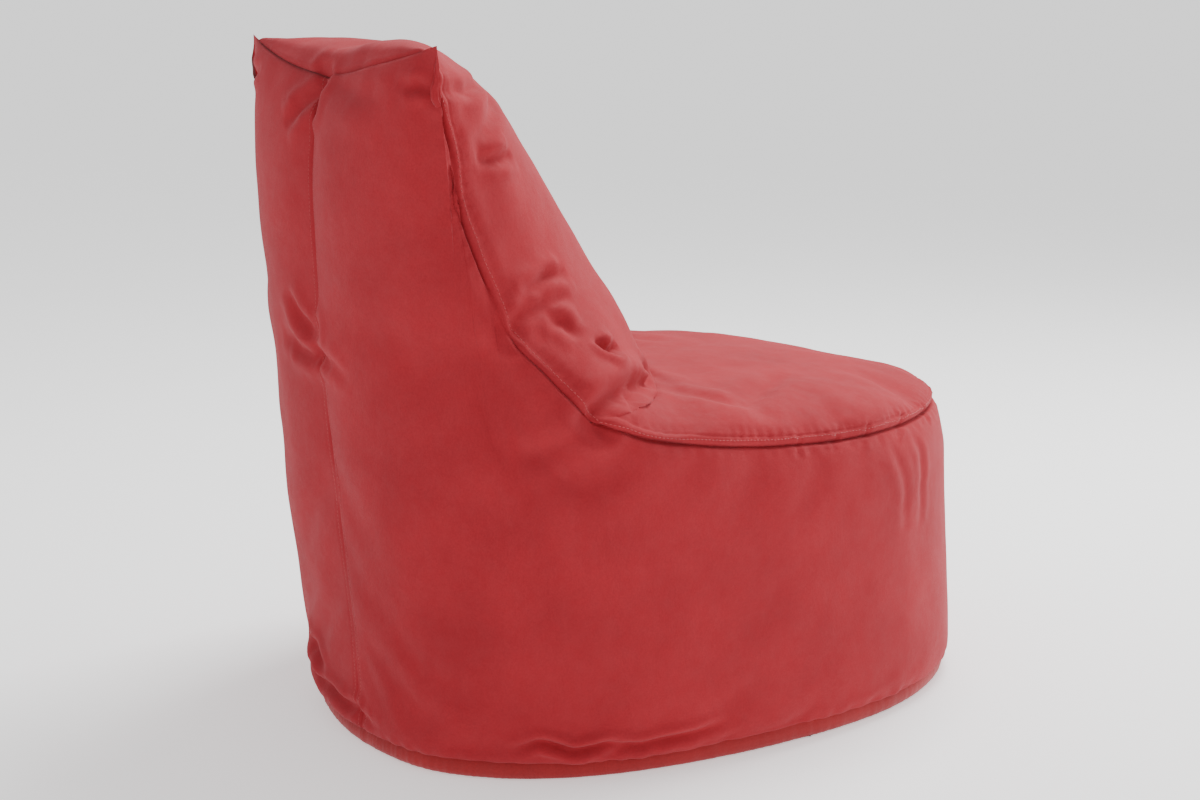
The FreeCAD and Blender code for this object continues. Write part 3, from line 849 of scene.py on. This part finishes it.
def inside_of(grid, share, floor):
    """A coarser copy of a finished panel, drawn in towards the chair's own leaning axis."""
    inner = grid[::FINER, ::FINER].copy()
    axis = np.interp(inner[..., 2], AXIS_HEIGHTS, AXIS_DEPTHS)
    inner[..., 0] *= share
    inner[..., 1] = axis + (inner[..., 1] - axis) * share
    inner[..., 2] = floor + inner[..., 2] * (share - floor / HEIGHT)
    return inner


LINER_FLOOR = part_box("liner_base_front")[0].z
LINER_SHARE = 0.925
BEAD_SHARE = 0.905
BEAD_FLOOR = LINER_FLOOR + 0.004
liner_left, liner_right, liner_front = (
    inside_of(grid, LINER_SHARE, LINER_FLOOR) for grid in (smooth_left, smooth_right, smooth_front)
)
bead_left, bead_right, bead_front = (
    inside_of(grid, BEAD_SHARE, BEAD_FLOOR) for grid in (smooth_left, smooth_right, smooth_front)
)


def bead_form():
    """The beads as one closed body: the panels' inner surfaces and a floor to them."""
    loop = np.concatenate([bead_left[:, 0], bead_right[::-1][1:-1, 0]])
    rows = []
    for part in np.linspace(0, 1, 14)[1:]:
        row = loop.copy()
        row[:, :2] = loop[:, :2] * (1 - part) + np.array([0, BASE_MIDDLE]) * part
        row[:, 2] = loop[:, 2] + (BEAD_FLOOR - loop[:, 2]) * min(1, 3 * part)
        rows.append(row)
    under = np.stack([loop] + rows)
    under = np.concatenate([under, under[:, :1]], axis=1)
    parts = ((bead_left, False), (bead_right, True), (bead_front, True), (under, False))
    vertices, faces, start = [], [], 0
    for grid, flip in parts:
        vertices.append(grid.reshape(-1, 3))
        faces.append(grid_faces(*grid.shape[:2], flip) + start)
        start += grid.shape[0] * grid.shape[1]
    obj = mesh_object("bead_filling_form", np.concatenate(vertices), np.concatenate(faces).tolist())
    merge_doubles(obj)
    obj.data.shade_smooth()
    return obj


# ---- stitches
# A stitch's sections: place along it in shares of its length, its fatness, and its height above
# the cloth, both in shares of the thread's half thickness.
STITCH_SECTIONS = [
    (-0.5, 0.30, -0.9),
    (-0.38, 0.9, 0.15),
    (0, 1.0, 0.45),
    (0.38, 0.9, 0.15),
    (0.5, 0.30, -0.9),
]
STITCH_SIDES = 6


def stitches(name, runs, long, pitch, thick):
    """A row of separate stitches along each run of (points, outward normals)."""
    vertices, faces = [], []
    ring = STITCH_SIDES
    for points, normals in runs:
        run = run_along(points)
        for place in np.arange(pitch / 2, run[-1], pitch):
            at = read_at([place - 0.001, place, place + 0.001], run, points)
            up = read_at(place, run, normals)
            ahead = at[2] - at[0]
            length = np.linalg.norm(ahead)
            if length < 1e-6:
                continue
            ahead /= length
            up = up - ahead * up.dot(ahead)
            up /= np.linalg.norm(up) + 1e-9
            beside = np.cross(up, ahead)
            first = len(vertices)
            for along, fat, high in STITCH_SECTIONS:
                centre = at[1] + ahead * along * long + up * (high * thick)
                for k in range(ring):
                    turn = 2 * math.pi * k / ring
                    spoke = beside * math.cos(turn) + up * math.sin(turn) * 0.8
                    vertices.append(centre + spoke * fat * thick)
            for s in range(len(STITCH_SECTIONS) - 1):
                for k in range(ring):
                    a = first + s * ring + k
                    b = first + s * ring + (k + 1) % ring
                    faces.append((a, b, b + ring, a + ring))
            faces.append(tuple(first + k for k in reversed(range(ring))))
            last = first + (len(STITCH_SECTIONS) - 1) * ring
            faces.append(tuple(last + k for k in range(ring)))
    obj = mesh_object(name, vertices, faces)
    obj.data.shade_smooth()
    return obj


def lane(grid, sign, index, axis, inset):
    """The line a given distance inside a panel's edge, and its outward normals."""
    normal = outward_normals(grid, sign)
    walk = grid if axis == 1 else np.swapaxes(grid, 0, 1)
    facing = normal if axis == 1 else np.swapaxes(normal, 0, 1)
    if index == -1:
        walk, facing = walk[:, ::-1], facing[:, ::-1]
    points, normals = [], []
    for line, up in zip(walk, facing):
        run = run_along(line)
        if run[-1] < 3 * inset:
            continue
        points.append(read_at(inset, run, line))
        normals.append(read_at(inset, run, up))
    return np.array(points), np.array(normals)


# ---- materials
# A wave texture with this scale repeats once a metre.
WAVE_PER_METRE = 0.314
COIL_PITCH = 0.0014
# Beads across a metre, near enough.
BEADS_PER_METRE = 260


def new_material(name):
    material = bpy.data.materials.new(name)
    material.use_nodes = True
    tree = material.node_tree
    return material, tree, tree.nodes["Principled BSDF"]


def link(tree, source, target):
    tree.links.new(source, target)


def value_noise(tree, scale, detail):
    place = tree.nodes.new("ShaderNodeTexCoord")
    texture = tree.nodes.new("ShaderNodeTexNoise")
    texture.inputs["Scale"].default_value = scale
    texture.inputs["Detail"].default_value = detail
    texture.inputs["Roughness"].default_value = 0.55
    link(tree, place.outputs["Object"], texture.inputs["Vector"])
    return texture.outputs["Fac"]


def stretch(tree, source, low, high, to_low, to_high):
    node = tree.nodes.new("ShaderNodeMapRange")
    node.inputs["From Min"].default_value = low
    node.inputs["From Max"].default_value = high
    node.inputs["To Min"].default_value = to_low
    node.inputs["To Max"].default_value = to_high
    link(tree, source, node.inputs["Value"])
    return node.outputs["Result"]


def mottled(tree, scale, detail, low, high):
    """Noise of that scale, spread between two values."""
    return stretch(tree, value_noise(tree, scale, detail), 0.3, 0.7, low, high)


def maths(tree, operation, first, second):
    """One sum on two sockets."""
    node = tree.nodes.new("ShaderNodeMath")
    node.operation = operation
    link(tree, first, node.inputs[0])
    link(tree, second, node.inputs[1])
    return node.outputs["Value"]


def shaded(tree, colour, factor):
    """A colour made darker or lighter by a factor."""
    node = tree.nodes.new("ShaderNodeVectorMath")
    node.operation = "SCALE"
    node.inputs[0].default_value = colour
    link(tree, factor, node.inputs["Scale"])
    return node.outputs["Vector"]


def weave(tree, pitch):
    """The height of a plain weave: crossed threads at that pitch in metres, on all sides."""
    place = tree.nodes.new("ShaderNodeTexCoord")
    heights = []
    for axis in ("X", "Y", "Z"):
        wave = tree.nodes.new("ShaderNodeTexWave")
        wave.bands_direction = axis
        wave.inputs["Scale"].default_value = WAVE_PER_METRE / pitch
        wave.inputs["Distortion"].default_value = 3.0
        wave.inputs["Detail"].default_value = 2.0
        link(tree, place.outputs["Object"], wave.inputs["Vector"])
        heights.append(wave.outputs["Fac"])
    first = maths(tree, "MULTIPLY", heights[0], heights[1])
    second = maths(tree, "MULTIPLY", heights[1], heights[2])
    third = maths(tree, "MULTIPLY", heights[0], heights[2])
    total = maths(tree, "ADD", first, second)
    return maths(tree, "ADD", total, third)


def bump(tree, shader, height, strength, reach, under=None):
    node = tree.nodes.new("ShaderNodeBump")
    node.inputs["Strength"].default_value = strength
    node.inputs["Distance"].default_value = reach
    link(tree, height, node.inputs["Height"])
    if under is not None:
        link(tree, under, node.inputs["Normal"])
    link(tree, node.outputs["Normal"], shader.inputs["Normal"])
    return node.outputs["Normal"]


def fabric(name, colour, sheen, pitch=0.0006, tint=(1.0, 0.75, 0.78), seam_shade_and_soil_depth=0.0, mottle=0.12):
    """Woven polyester: mottled colour, threads, a soft nap, painted seam shade and some wear."""
    material, tree, shader = new_material(name)
    broad = mottled(tree, 9, 4, 1 - mottle, 1 + mottle)
    fine = mottled(tree, 420, 2, 0.93, 1.07)
    threads = weave(tree, pitch)
    factor = maths(tree, "MULTIPLY", broad, fine)
    # Faint painted shade: the colour is a little darker where the weave lies low.
    factor = maths(tree, "MULTIPLY", factor, stretch(tree, threads, 0, 1.5, 0.98, 1.015))
    # The rim attribute darkens the colour near seams: painted shade in the seam gaps, wear beside them.
    rim = tree.nodes.new("ShaderNodeAttribute")
    rim.attribute_name = "rim"
    factor = maths(tree, "MULTIPLY", factor, stretch(tree, rim.outputs["Fac"], 0, 1, 1, 1 - seam_shade_and_soil_depth))
    link(tree, shaded(tree, colour, factor), shader.inputs["Base Color"])
    rough = mottled(tree, 60, 3, 0.80, 0.93)
    link(tree, rough, shader.inputs["Roughness"])
    shader.inputs["Specular IOR Level"].default_value = 0.25
    shader.inputs["Sheen Weight"].default_value = sheen
    shader.inputs["Sheen Roughness"].default_value = 0.45
    shader.inputs["Sheen Tint"].default_value = (*tint, 1)
    soft = bump(tree, shader, value_noise(tree, 130, 4), 0.30, 0.0012)
    bump(tree, shader, threads, 0.20, 0.0002, soft)
    return material


def hard(name, colour, metallic, rough, grain, depth):
    """Metal with fine scratches, uneven gloss and slightly uneven colour."""
    material, tree, shader = new_material(name)
    factor = mottled(tree, 300, 4, 0.88, 1.08)
    link(tree, shaded(tree, colour, factor), shader.inputs["Base Color"])
    gloss = mottled(tree, grain, 5, rough - 0.08, rough + 0.10)
    link(tree, gloss, shader.inputs["Roughness"])
    shader.inputs["Metallic"].default_value = metallic
    bump(tree, shader, value_noise(tree, grain, 5), 0.3, depth)
    return material


def coil(name, colour):
    """A zip's coil: turns of plastic thread across it, with painted shade between the turns."""
    material, tree, shader = new_material(name)
    place = tree.nodes.new("ShaderNodeTexCoord")
    turns = tree.nodes.new("ShaderNodeTexWave")
    turns.bands_direction = "X"
    turns.inputs["Scale"].default_value = WAVE_PER_METRE / COIL_PITCH
    link(tree, place.outputs["Object"], turns.inputs["Vector"])
    # Painted shade: the colour darkens in the valleys between the turns.
    factor = stretch(tree, turns.outputs["Fac"], 0, 1, 0.55, 1.08)
    link(tree, shaded(tree, colour, factor), shader.inputs["Base Color"])
    rough = mottled(tree, 400, 3, 0.38, 0.55)
    link(tree, rough, shader.inputs["Roughness"])
    bump(tree, shader, turns.outputs["Fac"], 0.9, 0.0008)
    return material


def beads(name, colour):
    """Small expanded beads packed together, with painted shade between them."""
    material, tree, shader = new_material(name)
    place = tree.nodes.new("ShaderNodeTexCoord")
    cells = tree.nodes.new("ShaderNodeTexVoronoi")
    cells.inputs["Scale"].default_value = BEADS_PER_METRE
    link(tree, place.outputs["Object"], cells.inputs["Vector"])
    # Painted shade: the colour darkens towards the gaps between the beads.
    factor = stretch(tree, cells.outputs["Distance"], 0, 0.7, 1.02, 0.72)
    link(tree, shaded(tree, colour, factor), shader.inputs["Base Color"])
    rough = mottled(tree, 90, 3, 0.6, 0.75)
    link(tree, rough, shader.inputs["Roughness"])
    height = stretch(tree, cells.outputs["Distance"], 0, 0.7, 1, 0)
    bump(tree, shader, height, 0.8, 0.002)
    return material


COVER_RED = (0.335, 0.0155, 0.0235)
# The cover is painted darker at its seams: shade in the gaps, wear beside them.
cover_cloth = fabric("cover_cloth", COVER_RED, 0.14, tint=(1.0, 0.45, 0.5), seam_shade_and_soil_depth=0.75, mottle=0.09)
base_cloth = fabric("base_cloth", (0.33, 0.022, 0.025), 0.3, pitch=0.0009, seam_shade_and_soil_depth=0.15)
liner_cloth = fabric("liner_cloth", (0.80, 0.79, 0.76), 0.2, pitch=0.0008, tint=(1, 1, 1))
tape_cloth = fabric("tape_cloth", (0.30, 0.022, 0.025), 0.2, pitch=0.0007)
liner_tape_cloth = fabric("liner_tape_cloth", (0.78, 0.78, 0.75), 0.2, pitch=0.0007)
thread = fabric("cover_thread", (0.46, 0.055, 0.060), 0.5, pitch=0.0003, mottle=0.2)
cover_coil = coil("cover_coil", (0.28, 0.02, 0.024))
liner_coil = coil("liner_coil", (0.80, 0.80, 0.78))
zip_metal = hard("zip_metal", (0.52, 0.52, 0.51), 0.9, 0.34, 500, 0.0001)
bead_foam = beads("bead_foam", (0.88, 0.88, 0.87))


def paint(obj, material):
    obj.data.materials.clear()
    obj.data.materials.append(material)


def add_seam_shade_soil(obj, rim):
    """Stores how near each point is to a seam, for the painted seam shade and wear."""
    layer = obj.data.attributes.new("rim", "FLOAT", "POINT")
    values = rim.ravel()
    if len(values) == len(obj.data.vertices):
        layer.data.foreach_set("value", values.astype(np.float32))


def finish_soft(obj, material, node):
    paint(obj, material)
    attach(obj, BODY)
    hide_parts(node)


def soft_piece(name, grid, flip, material, node, rim=None):
    obj = grid_object(name, grid, flip)
    if rim is not None:
        add_seam_shade_soil(obj, rim)
    finish_soft(obj, material, node)


# ---- the pieces
for node, grid, flip, rim in (
    ("left_side_panel", side_left, False, seam_shade_soil_left),
    ("right_side_panel", side_right, True, seam_shade_soil_right),
    ("front_panel", front, True, seam_shade_soil_front),
):
    soft_piece(f"{node}_cover", grid, flip, cover_cloth, node, rim)
for node, facing in (("base_panel_front", -1), ("base_panel_rear", 1)):
    soft_piece(f"{node}_cover", base_grid(facing), False, base_cloth, node)
for node, grid, flip in (
    ("liner_left_panel", liner_left, False),
    ("liner_right_panel", liner_right, True),
    ("liner_front_panel", liner_front, True),
    ("liner_base_front", base_half(liner_left, liner_right, -1, LINER_ZIP_LINE, LINER_FLOOR, 0), False),
    ("liner_base_rear", base_half(liner_left, liner_right, 1, LINER_ZIP_LINE, LINER_FLOOR, 0), False),
):
    soft_piece(f"{node}_cloth", grid, flip, liner_cloth, node)
finish_soft(bead_form(), bead_foam, "bead_filling")


def stitch_piece(name, runs, long, pitch, thick):
    obj = stitches(name, runs, long, pitch, thick)
    paint(obj, thread)
    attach(obj, BODY)


front_lanes = [lane(front, 1, 0, 1, BAND), lane(front, 1, -1, 1, BAND)]
back_lanes = [lane(side_left, -1, 0, 0, BACK_LANE), lane(side_right, 1, 0, 0, BACK_LANE)]
stitch_piece("front_panel_topstitch", front_lanes, 0.0040, 0.0056, 0.00045)
stitch_piece("back_seam_topstitch", back_lanes, 0.0036, 0.0050, 0.00040)

for node, material in (
    ("base_zip_tape", tape_cloth),
    ("base_zip_coil", cover_coil),
    ("liner_zip_tape", liner_tape_cloth),
    ("liner_zip_coil", liner_coil),
):
    for half in ("front", "rear"):
        paint(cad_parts[f"{node}_{half}"], material)
for node in ("base_zip_end_stops", "base_zip_slider", "base_zip_pull_tab"):
    paint(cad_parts[node], zip_metal)
for node in ("liner_zip_end_stops", "liner_zip_slider"):
    paint(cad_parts[node], zip_metal)


# ---- stage, light and camera
def stage():
    bpy.ops.mesh.primitive_plane_add(size=400)
    floor = bpy.context.object
    floor.name = "floor"
    material, tree, shader = new_material("floor_paper")
    tone = mottled(tree, 2, 3, 0.985, 1.0)
    link(tree, shaded(tree, (0.93, 0.93, 0.93), tone), shader.inputs["Base Color"])
    shader.inputs["Roughness"].default_value = 0.9
    shader.inputs["Specular IOR Level"].default_value = 0.2
    shader.inputs["Emission Color"].default_value = (1, 1, 1, 1)
    shader.inputs["Emission Strength"].default_value = 0.55
    floor.data.materials.append(material)


def area_light(name, place, target, size, power):
    light = bpy.data.lights.new(name, "AREA")
    light.shape = "SQUARE"
    light.size = size
    light.energy = power
    obj = bpy.data.objects.new(name, light)
    obj.location = place
    obj.rotation_euler = (Vector(target) - Vector(place)).to_track_quat("-Z", "Y").to_euler()
    bpy.context.scene.collection.objects.link(obj)


def lights():
    world = bpy.data.worlds.new("world")
    world.use_nodes = True
    sky = world.node_tree.nodes["Background"]
    sky.inputs["Color"].default_value = (1, 1, 1, 1)
    sky.inputs["Strength"].default_value = 0.8
    bpy.context.scene.world = world
    area_light("overhead", (0.3, -1.3, 3.0), (0, -0.1, 0.4), 1.6, 120)
    area_light("front", (-0.6, -3.2, 1.6), (0, 0, 0.4), 1.4, 45)


# The camera stands behind and to the chair's right, and looks a little down.
CAMERA_TURN = math.radians(35)
CAMERA_AWAY = 2.78
CAMERA_SHIFT = -0.01
CAMERA_HEIGHT = 0.967
CAMERA_PITCH = math.radians(11.9)
CAMERA_YAW = math.radians(0.925)
LENS_MM = 61.8
SENSOR_MM = 36


def camera():
    across = -math.cos(CAMERA_TURN) * CAMERA_AWAY
    along = math.sin(CAMERA_TURN) * CAMERA_AWAY + CAMERA_SHIFT
    heading = -CAMERA_TURN + CAMERA_YAW
    level = math.cos(CAMERA_PITCH)
    look = Vector((math.cos(heading) * level, math.sin(heading) * level, -math.sin(CAMERA_PITCH)))
    data = bpy.data.cameras.new("camera")
    data.lens = LENS_MM
    data.sensor_width = SENSOR_MM
    obj = bpy.data.objects.new("camera", data)
    obj.location = (across, along, CAMERA_HEIGHT)
    obj.rotation_euler = look.to_track_quat("-Z", "Y").to_euler()
    bpy.context.scene.collection.objects.link(obj)
    bpy.context.scene.camera = obj


stage()
lights()
camera()
